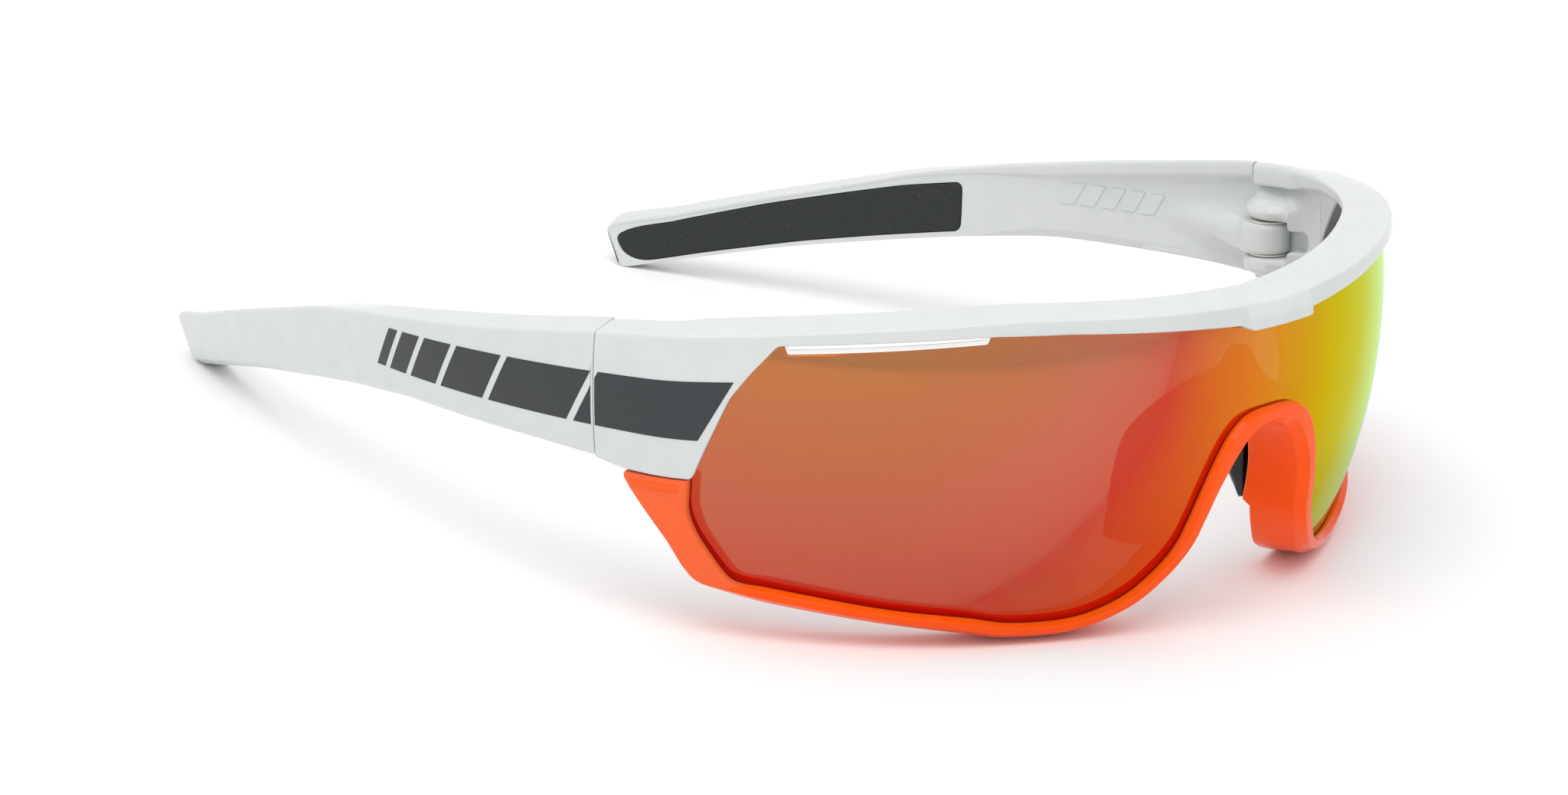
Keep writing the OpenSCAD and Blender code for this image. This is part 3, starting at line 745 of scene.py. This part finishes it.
def saddle():
    """The rubber saddle: sections along its two legs, joined over the nose."""
    rows = fine(SADDLE, 10)
    x, z, width, back, under = rows.T
    ahead = np.gradient(rows[:, :2], axis=0)
    ahead[0] = (1, 0)
    ahead /= np.linalg.norm(ahead, axis=1, keepdims=True)
    out = np.stack([-ahead[:, 1], ahead[:, 0]], -1)
    front = behind(x, z, SADDLE_N)
    step = behind(x, z, FLANGE_CLEAR_N)
    deep = back - front
    corners = corner_rows([
        (0.1, 0), (width, 0), (width - 0.4, 2.6), (0.5 * width + 0.7, 0.45 * deep),
        (np.minimum(2.5, width), deep - 1.0), (1.2, deep), (0.2 - 0.6 * under, deep - 0.2),
        (-under, 0.6 * (back - step) + step - front), (0.1 - under, step - front + 0.05),
        (0.1, step - front)])
    inset = np.concatenate([0 * x[:-6], 1 - np.cos(np.linspace(0, 1.5, 6))])
    loops = shrink(outline(corners, SADDLE_RADII, SADDLE_FILL), inset)
    across, away = loops[..., 0], loops[..., 1]
    px = x[:, None] + across * out[:, None, 0]
    pz = z[:, None] + across * out[:, None, 1]
    # the front of each section follows the lens, the back of it is flat
    lean = np.clip(1 - away / 3, 0, 1)
    py = lean * behind(px, pz, SADDLE_N) + (1 - lean) * front[:, None] + away
    return loft(both_sides(np.stack([px, py, pz], -1)))


make("nose_saddle", "front", [PAD], saddle(), ["nose_piece"])

# ---------- temples and grips ----------

# (length s, value) of the inner side's depth, the rail's depth, height and rise, and the grip's edges
WALL_N = [(95, 2.7), (120, 3.3), (143, 4.2), (175, 4.1), (208, 3.9)]
TEMPLE_RAIL_N = [(95, 4.2), (120, 4.4), (145, 4.3), (175, 4.2), (208, 4.0)]
TEMPLE_RAIL_Z = [(95, 2.3), (132, 2.0), (146, 0.8), (156, 0.45), (208, 0.45)]
TEMPLE_RISE = [(95, 1.4), (120, 1.15), (150, 0.1), (165, -0.5), (208, -0.8)]
GRIP_TOP_Z = [(140, 5.0), (146, 4.4), (155.6, 3.0), (165.6, 0.9), (177.4, -1.7), (190.5, -5.1),
              (198, -7.2), (203, -8.6)]
GRIP_LOW_Z = [(140, -2.3), (146, -2.9), (159, -4.8), (172, -6.9), (187.2, -9.9), (196.8, -12.0),
              (203, -13.4)]
GRIP_START = 146.0
GRIP_END = 200.2
GRIP_CORNER = 1.1
GRIP_TAIL = 5.0
POCKET_N = 1.6
TIP_S = 201.2
TIP_ROUND = 2.2
TIP_DROP = 1.3
TIP_EDGE = 0.6
SHEAR_S = 193.5
TIP_SLOPE = 0.5


def grip_edges(s):
    """Heights of the grip's upper and lower edge, drawn in at its two rounded ends."""
    top, low = soft(GRIP_TOP_Z, s, 2.0), soft(GRIP_LOW_Z, s, 2.0)
    head = np.clip((GRIP_START + GRIP_CORNER - s) / GRIP_CORNER, 0, 1)
    tail = np.clip((s - (GRIP_END - GRIP_TAIL)) / GRIP_TAIL, 0, 1)
    pull = GRIP_CORNER * (1 - np.sqrt(1 - head**2))
    shut = 1 - np.sqrt(1 - tail**2.4)
    return top - pull - 1.3 * shut, low + pull + 2.9 * shut


def sheared(s, loops):
    """A tube through the loops, whose sections lean backwards more and more towards the tip."""
    low = soft(TEMPLE_LOW_Z, s, 3)[:, None]
    shear = np.maximum(0, s - SHEAR_S)[:, None] / (TIP_S - SHEAR_S) * TIP_SLOPE
    return loft(face(s[:, None] + shear * (loops[..., 0] - low), loops[..., 0], loops[..., 1]))


def temple_corners(s):
    """Corners (height, depth) of the temple's section, with the grip's pocket in its inside."""
    rise = soft(TEMPLE_RISE, s, 4)
    rail_n, wall_n = soft(TEMPLE_RAIL_N, s, 4), soft(WALL_N, s, 4)
    u = np.clip((s - (TIP_S - TIP_ROUND)) / TIP_ROUND, 0, 1)
    drop = TIP_DROP * (1 - np.sqrt(1 - u * u * 0.98))
    top = soft(RIDGE_Z, s, RIDGE_SOFT) - drop
    low = soft(TEMPLE_LOW_Z, s, 3) + 0.4 * drop
    rail_z = top + rise - soft(TEMPLE_RAIL_Z, s, 4)
    pocket = (s > GRIP_START - 0.02) & (s < GRIP_END + 0.02)
    pocket_top, pocket_low = grip_edges(s)
    pocket_top = np.where(pocket, pocket_top, low + 0.66 * (top - low))
    pocket_low = np.where(pocket, pocket_low, low + 0.33 * (top - low))
    pocket_n = np.where(pocket, wall_n - POCKET_N, wall_n)
    inner = np.maximum(rail_z - np.maximum(0.12, rail_n - wall_n), pocket_top + 0.12)
    rail_z = np.maximum(rail_z, inner + 0.05)
    chamfer = 0.35 + 0.5 * ease(97, 125, s)
    lip = 0.05 + 1.15 * (1 - ease(134, 145, s))
    return corner_rows([
        (low, chamfer), (low + chamfer, 0), (top, 0), (top + rise, rail_n), (rail_z, rail_n),
        (inner, wall_n), (pocket_top, wall_n), (pocket_top, pocket_n), (pocket_low, pocket_n),
        (pocket_low, wall_n), (low + 0.1 + lip, wall_n), (low + 0.05, wall_n - 0.6 * lip)])


TEMPLE_RADII = [0.45, 0.6, 0.6, 1.0, 0.7, 1.0, 0.08, 0.05, 0.05, 0.08, 0.35, 0.3]
TEMPLE_FILL = [1, 9, 4, 1, 1, 2, 0, 4, 0, 2, 1, 1]


def temple():
    """The temple shell, with stations packed at the ends of the grip's pocket and at the tip."""
    s = np.concatenate([np.arange(SEAM_S + SEAM_GAP, 145.6, 0.8), [145.9, GRIP_START - 0.03],
                        GRIP_START + GRIP_CORNER * (1 - np.cos(np.linspace(0, math.pi / 2, 9))),
                        np.arange(148.2, 194, 0.9), np.linspace(194, GRIP_END, 24),
                        [GRIP_END + 0.03], np.arange(GRIP_END + 0.13, TIP_S - 0.05, 0.1), [TIP_S]])
    s, inset = rounded_end(s, SEAM_EDGE)
    wide = np.clip((s - (TIP_S - TIP_EDGE)) / TIP_EDGE, 0, 1)
    inset = np.where(s > 150, 0.5 * (1 - np.sqrt(1 - wide**2 * 0.97)), inset)
    return sheared(s, shrink(outline(temple_corners(s), TEMPLE_RADII, TEMPLE_FILL, steps=4), inset))


GRIP_GAP = 0.07
GRIP_PROUD = 0.14


def grip():
    """The rubber pad in the temple's pocket, standing slightly proud."""
    a, b = GRIP_START + GRIP_GAP, GRIP_END - GRIP_GAP
    s = np.concatenate([a + GRIP_CORNER * (1 - np.cos(np.linspace(0, math.pi / 2, 12))),
                        np.arange(a + GRIP_CORNER + 0.6, 194, 0.9), np.linspace(194, b, 28)])
    s, inset = rounded_end(s, 0.3)
    top, low = grip_edges(s)
    top, low = top - GRIP_GAP, low + GRIP_GAP
    wall_n = soft(WALL_N, s, 4)
    base, proud = wall_n - POCKET_N + 0.1, wall_n + GRIP_PROUD
    corners = corner_rows([(low, base), (top, base), (top, proud), (low, proud)])
    return sheared(s, shrink(outline(corners, [0.1, 0.1, 0.4, 0.4], [3, 1, 7, 1]), inset))


for side, turn in SIDES:
    make(side + "_temple_shell", side + "_arm", [WHITE], turn(temple()),
         [side + "_temple"])
    make(side + "_grip_pad", side + "_arm", [GRIP], turn(grip()), [side + "_grip"])

# ---------- hinge ears and knuckle, blended into the walls ----------

# x and y of the left hinge's axis; the heights of its ears, knuckle and screw head
HINGE = (64.2, 48.35)
BARREL_R = 3.1
EAR_LOW = -1.6
EAR_TOP = 9.0
KNUCKLE_LOW = 1.31
KNUCKLE_TOP = 5.69
EAR_IN_LOW = 1.0
EAR_IN_TOP = 6.0
HEAD_R = 1.5
HEAD_TOP = -0.7
NET_STEP = 0.2
EAR_PLAN = [(61.6, 46.6), (64.9, 39.6), (66.4, 36.6), (67.2, 51.1), (63.6, 51.7)]
WEB_PLAN = [(61.6, 43.4), (65.0, 39.6), (66.6, 38.9), (67.0, 43.4)]
RIB_START = np.array([64.3, 50.4, 3.5])
RIB_END = np.array([67.6, 66.5, 3.4])


def smooth_min(a, b, k):
    """Union of two distance fields with a fillet of about size k."""
    h = np.maximum(k - np.abs(a - b), 0) / k
    return np.minimum(a, b) - h * h * k / 4


def smooth_max(a, b, k):
    """Common part of two distance fields with a fillet of about size k."""
    return -smooth_min(-a, -b, k)


def slab(v, low, high):
    """Distance field of the layer between two values of v."""
    return np.abs(v - (low + high) / 2) - (high - low) / 2


def convex(x, y, corners):
    """Distance field of a convex polygon in plan, corners anticlockwise."""
    d = np.full(len(x), -1e9)
    for i, (ax, ay) in enumerate(corners):
        bx, by = corners[(i + 1) % len(corners)]
        length = math.hypot(bx - ax, by - ay)
        d = np.maximum(d, ((x - ax) * (by - ay) - (y - ay) * (bx - ax)) / length)
    return d


def box_field(p, low, high, k):
    """Distance field of a box with corners rounded by about k."""
    d = slab(p[:, 0], low[0], high[0])
    d = smooth_max(d, slab(p[:, 1], low[1], high[1]), k)
    return smooth_max(d, slab(p[:, 2], low[2], high[2]), k)


def from_axis(p):
    """Distance from the hinge axis."""
    return np.hypot(p[:, 0] - HINGE[0], p[:, 1] - HINGE[1])


def wall_layer(p, s_low, s_high, sunk=0.05):
    """A layer just under the inside of the wall and the rail, that the fillets grow out of."""
    s, z, n = unface(p)
    rail_z = soft(RIDGE_Z, s, RIDGE_SOFT) - 1.4
    inside = np.where(s < SEAM_S, plate_back(s), at(WALL_N, s))
    shell = np.maximum(n - (inside - sunk), 1.6 - n)
    shell = np.maximum(shell, z - rail_z - 0.6)
    shell = np.maximum(shell, slab(s, s_low, s_high))
    lowest = soft(BROW_LOW_Z, np.minimum(s, 96), 1) + 0.5
    lowest = np.where(s < 83.6, np.maximum(lowest, soft(LENS_TOP_Z, s, 0.5) + 0.8), lowest)
    return np.maximum(shell, np.maximum(lowest - z, z - 11.5))


def front_field(p):
    """Two ears joined by a web with a window, swept up into the wall and the rail."""
    x, y, z = p.T
    plan = smooth_min(convex(x, y, EAR_PLAN), from_axis(p) - BARREL_R, 2.2)
    upper = smooth_max(plan + 0.35 * np.maximum(z - 7.2, 0), slab(z, EAR_IN_TOP, EAR_TOP), 2.0)
    lower = smooth_max(plan, slab(z, EAR_LOW, EAR_IN_LOW), 1.2)
    web = smooth_max(convex(x, y, WEB_PLAN), slab(z, EAR_LOW + 0.5, EAR_TOP - 0.3), 1.2)
    solid = smooth_min(smooth_min(upper, lower, 0.5), web, 1.6)
    solid = smooth_min(solid, wall_layer(p, 79.5, 94.8), 3.6)
    room = np.maximum(from_axis(p) - BARREL_R - 0.15, slab(z, EAR_IN_LOW, EAR_IN_TOP))
    solid = smooth_max(solid, -room, 0.25)
    path = box_field(p, (55.0, HINGE[1] - 4.9, EAR_IN_LOW), (HINGE[0] + 2.6, 60.0, EAR_IN_TOP), 0.5)
    solid = smooth_max(solid, -path, 0.3)
    window = box_field(p, (50.0, HINGE[1] - 7.6, 2.3), (66.0, HINGE[1], 5.2), 1.2)
    solid = smooth_max(solid, -window, 0.5)
    head = np.maximum(from_axis(p) - HEAD_R, z - HEAD_TOP)
    solid = smooth_max(solid, -head, 0.12)
    s, _, n = unface(p)
    return np.maximum(np.maximum(solid, 1.5 - n), s - SEAM_S + 0.05)


def arm_field(p):
    """The knuckle between the ears and the long swelling that carries it on the temple."""
    y, z = p[:, 1], p[:, 2]
    knuckle = smooth_max(from_axis(p) - BARREL_R, slab(z, KNUCKLE_LOW, KNUCKLE_TOP), 0.9)
    along = RIB_END - RIB_START
    t = np.clip((p - RIB_START) @ along / (along @ along), 0, 1)
    off = (p - RIB_START - t[:, None] * along) * [1, 1, 0.82]
    rib = np.linalg.norm(off, axis=1) - (2.7 - 1.9 * t)
    solid = smooth_min(knuckle, rib, 2.0)
    solid = np.maximum(solid, slab(z, KNUCKLE_LOW, KNUCKLE_TOP) - 0.35 * ease(51, 56, y))
    layer = np.maximum(wall_layer(p, SEAM_S + 0.4, 116.0), slab(z, -2.2, 8.6))
    solid = smooth_min(solid, layer, 2.2)
    return np.maximum(solid, 1.2 - unface(p)[2])


def net(field, low, high, step):
    """Surface nets: points, quads and outward directions on the zero level of a field in a box."""
    axes = [np.arange(low[i], high[i] + step, step) for i in range(3)]
    grid = np.stack(np.meshgrid(*axes, indexing="ij"), -1)
    shape = grid.shape[:3]
    value = field(grid.reshape(-1, 3)).reshape(shape)
    cells = tuple(n - 1 for n in shape)
    total = np.zeros(cells + (3,))
    count = np.zeros(cells)
    edges = []
    for axis in range(3):
        a = np.take(value, range(shape[axis] - 1), axis)
        b = np.take(value, range(1, shape[axis]), axis)
        i, j, k = np.nonzero((a < 0) != (b < 0))
        va, vb = a[i, j, k], b[i, j, k]
        place = grid[i, j, k].copy()
        place[:, axis] += step * va / (va - vb)
        around = []
        u, v = [q for q in range(3) if q != axis]
        for du, dv in ((0, 0), (-1, 0), (-1, -1), (0, -1)):
            c = [i, j, k]
            c[u], c[v] = c[u] + du, c[v] + dv
            around.append(c)
        good = np.ones(len(i), bool)
        for c in around:
            for q in range(3):
                good &= (c[q] >= 0) & (c[q] < cells[q])
        for c in around:
            pick = tuple(q[good] for q in c)
            np.add.at(total, pick, place[good])
            np.add.at(count, pick, 1)
        edges.append(([tuple(q[good] for q in c) for c in around], (va < 0)[good], axis))
    used = count > 0
    index = np.full(cells, -1)
    index[used] = np.arange(used.sum())
    points = total[used] / count[used][:, None]
    h = 0.02
    for _ in range(3):
        slope = np.stack([(field(points + d) - field(points - d)) / (2 * h)
                          for d in np.eye(3) * h], -1)
        size = np.maximum((slope**2).sum(1, keepdims=True), 0.05)
        points = points - np.clip(field(points)[:, None] * slope / size, -step / 2, step / 2)
    slope /= np.maximum(np.linalg.norm(slope, axis=1, keepdims=True), 1e-9)
    faces = []
    for around, outward, axis in edges:
        quads = np.stack([index[c] for c in around], -1)
        swap = outward if axis == 1 else ~outward
        quads[swap] = quads[swap][:, ::-1]
        faces += [tuple(q) for q in quads.tolist()]
    return (points, faces), slope


ears, ear_slope = net(front_field, (57.5, 34.5, -4.5), (70.5, 53.5, 13.0), NET_STEP)
knuckle, knuckle_slope = net(arm_field, (59.5, 43.5, -3.0), (71.0, 72.0, 9.5), NET_STEP)
for side, turn in SIDES:
    sign = MIRROR_X if turn is mirror else 1.0
    make(side + "_hinge_ears", "front", [WHITE], turn(ears),
         normals=ear_slope * sign)
    make(side + "_hinge_knuckle", side + "_arm", [WHITE], turn(knuckle),
         normals=knuckle_slope * sign)

# ---------- printed blocks ----------

PRINT_REAR = (137.0, 1.0, 6.2)
PRINT_FRONT = (80.0, 0.9, 8.4)
PRINT_SLANT = 0.59
PRINT_PROUD = 0.035
# start and end of each block as shares of the printed band
BLOCKS = [(0.0, 0.035), (0.055, 0.12), (0.14, 0.235), (0.255, 0.40), (0.42, 0.66), (0.68, 1.0)]


def block(start, end):
    """Lengths s and heights z over one slanted block of the printed band on the outer face."""
    along = np.linspace(start, end, max(4, int((end - start) * 90)))
    up = np.linspace(0, 1, 9)
    share, v = np.meshgrid(along, up, indexing="ij")
    low = PRINT_REAR[1] + share * (PRINT_FRONT[1] - PRINT_REAR[1])
    high = PRINT_REAR[2] + share * (PRINT_FRONT[2] - PRINT_REAR[2])
    z = low + v * (high - low)
    s = PRINT_REAR[0] + share * (PRINT_FRONT[0] - PRINT_REAR[0]) - PRINT_SLANT * (z - low)
    return s, z


def thin_slab(s, z, top_n, base_n):
    """A slab with a top, a base and sides over a grid of s and z."""
    top, base = face(s, z, top_n), face(s, z, base_n)
    m, n = s.shape
    points = np.concatenate([top.reshape(-1, 3), base.reshape(-1, 3)])
    faces = []
    for i in range(m - 1):
        for j in range(n - 1):
            a, b, c, d = i * n + j, i * n + j + 1, (i + 1) * n + j + 1, (i + 1) * n + j
            if abs(s[i, j] - s[i + 1, j]) + abs(s[i, j + 1] - s[i + 1, j + 1]) > 1e-6:
                faces += [(a, b, c, d), (m * n + d, m * n + c, m * n + b, m * n + a)]
    border = [i * n for i in range(m)] + [(m - 1) * n + j for j in range(1, n)]
    border += [i * n + n - 1 for i in range(m - 2, -1, -1)] + list(range(n - 2, 0, -1))
    for k, a in enumerate(border):
        b = border[(k + 1) % len(border)]
        if np.linalg.norm(points[a] - points[b]) > 1e-6:
            faces.append((a, b, m * n + b, m * n + a))
    return points, faces


def print_part(keep_low, keep_high):
    """The printed blocks between two lengths along the face."""
    parts = []
    for start, end in BLOCKS:
        s, z = block(start, end)
        if s.max() > keep_low + 0.2 and s.min() < keep_high - 0.2:
            parts.append(thin_slab(np.clip(s, keep_low, keep_high), z, -PRINT_PROUD, 0.05))
    return join(*parts)


RELIEF_FIRST = 130.0
RELIEF_STEP = 3.4
RELIEF_COUNT = 5
RELIEF_BAR = 2.3
RELIEF_LOW = 2.9
RELIEF_TOP = 6.0
RELIEF_PROUD = 0.14


def relief_part():
    """Low slanted bars moulded on the inside of the temple."""
    parts = []
    for i in range(RELIEF_COUNT):
        along = RELIEF_FIRST - RELIEF_STEP * i - np.linspace(0, RELIEF_BAR, 8)
        up = np.linspace(RELIEF_LOW, RELIEF_TOP, 7)
        s, z = np.meshgrid(along, up, indexing="ij")
        s = s - PRINT_SLANT * (z - RELIEF_LOW)
        level = soft(WALL_N, s.ravel(), 4).reshape(s.shape)
        parts.append(thin_slab(s, z, level + RELIEF_PROUD, level - 0.1))
    return join(*parts)


for side, turn in SIDES:
    make(side + "_temple_relief", side + "_arm", [WHITE], turn(relief_part()),
         sharp=30)
    make(side + "_plate_print", "front", [PRINT],
         turn(print_part(0, SEAM_S - 0.25)), sharp=30)
    make(side + "_temple_print", side + "_arm", [PRINT],
         turn(print_part(SEAM_S + SEAM_GAP + 0.25, 300)), sharp=30)

# ---------- hinge hardware carried over from the CAD ----------

FINISHES = {"nose_wire": STEEL, "screw": STEEL, "sleeve": STEEL, "insert": BRASS, "washers": NYLON}
for node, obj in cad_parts.items():
    for key, finish in FINISHES.items():
        if node.endswith(key):
            obj.data.materials.clear()
            obj.data.materials.append(finish)

# ---------- stage, light and camera ----------

FLOOR_HALF = 6.0
floor_data = bpy.data.meshes.new("floor")
floor_data.from_pydata([(x * FLOOR_HALF, y * FLOOR_HALF, 0.0) for x, y in
                        ((-1, -1), (1, -1), (1, 1), (-1, 1))], [], [(0, 1, 2, 3)])
floor = bpy.data.objects.new("floor", floor_data)
bpy.context.scene.collection.objects.link(floor)
paper = Finish("floor_paper")
tone = paper.mix(paper.noise(6, 2), rgb(0.90, 0.90, 0.90), rgb(0.885, 0.885, 0.885))
floor_data.materials.append(paper.finish(paper.add(
    "ShaderNodeBsdfPrincipled", {"Base Color": tone, "Roughness": 0.8}).outputs[0]))

world = bpy.data.worlds.new("studio")
bpy.context.scene.world = world
sky = Finish("studio", world)
up = sky.add("ShaderNodeSeparateXYZ", {0: sky.add("ShaderNodeTexCoord").outputs["Generated"]})
ramp = sky.add("ShaderNodeValToRGB", {"Fac": up.outputs["Z"]})
fill_ramp(ramp, [(0.0, (0.66, 0.66, 0.67)), (0.3, (0.80, 0.80, 0.81)), (1.0, (1.3, 1.3, 1.3))])
# the camera and reflections see an even white room, so that no horizon line shows
rays = sky.add("ShaderNodeLightPath")
seen = sky.math("MAXIMUM", rays.outputs["Is Glossy Ray"], rays.outputs["Is Camera Ray"])
room = sky.mix(seen, ramp.outputs["Color"], rgb(1.02, 1.02, 1.02))
sky.finish(sky.add("ShaderNodeBackground", {"Color": room, "Strength": 0.9}).outputs[0])


LIGHT_TARGET = Vector((0, 0, 0.02))


def softbox(name, place, size, power):
    """A rectangular area light that faces the middle of the glasses."""
    data = bpy.data.lights.new(name, "AREA")
    data.shape = "RECTANGLE"
    data.size, data.size_y = size
    data.energy = power
    lamp = bpy.data.objects.new(name, data)
    lamp.location = place
    lamp.rotation_mode = "QUATERNION"
    lamp.rotation_quaternion = (Vector(place) - LIGHT_TARGET).to_track_quat("Z", "Y")
    bpy.context.scene.collection.objects.link(lamp)


softbox("key", (-0.5, -0.2, 1.3), (1.3, 0.9), 8.0)
softbox("side", (-1.3, -0.9, 0.5), (0.5, 0.5), 1.0)

# the photograph's viewing angle, in the drawing frame
VIEW_AZIMUTH = math.radians(-48.103)
VIEW_HEIGHT = math.radians(14.361)
VIEW_ROLL = math.radians(0.357)
VIEW_DISTANCE = 631.396
FOCAL_PX = 6572.54
WIDTH_PX = 2048
SENSOR_MM = 36.0
SIDE_SHIFT = -61.165
UP_SHIFT = 0.490


def turn_only(v):
    """A direction of the drawing frame in the row's frame."""
    return Vector((stand(np.array(v) * 1000.0) - stand(np.zeros(3))).tolist()).normalized()


def photo_camera():
    """The camera, placed in the drawing frame and stood up with the glasses."""
    a, e = VIEW_AZIMUTH, VIEW_HEIGHT
    back = np.array([math.sin(a) * math.cos(e), -math.cos(a) * math.cos(e), math.sin(e)])
    right = np.array([math.cos(a), math.sin(a), 0.0])
    up = np.cross(back, right)
    right, up = (right * math.cos(VIEW_ROLL) + up * math.sin(VIEW_ROLL),
                 -right * math.sin(VIEW_ROLL) + up * math.cos(VIEW_ROLL))
    place = VIEW_DISTANCE * back + SIDE_SHIFT * right + UP_SHIFT * up
    data = bpy.data.cameras.new("photo_camera")
    data.sensor_width = SENSOR_MM
    data.lens = FOCAL_PX / WIDTH_PX * SENSOR_MM
    data.clip_start, data.clip_end = 0.05, 50.0
    camera = bpy.data.objects.new("photo_camera", data)
    axes = [turn_only(v) for v in (right, up, back)]
    matrix = Matrix((axes[0], axes[1], axes[2])).transposed().to_4x4()
    matrix.translation = Vector(stand(place).tolist())
    camera.matrix_world = matrix
    bpy.context.scene.collection.objects.link(camera)
    bpy.context.scene.camera = camera


photo_camera()
bpy.context.scene.view_settings.view_transform = "Standard"
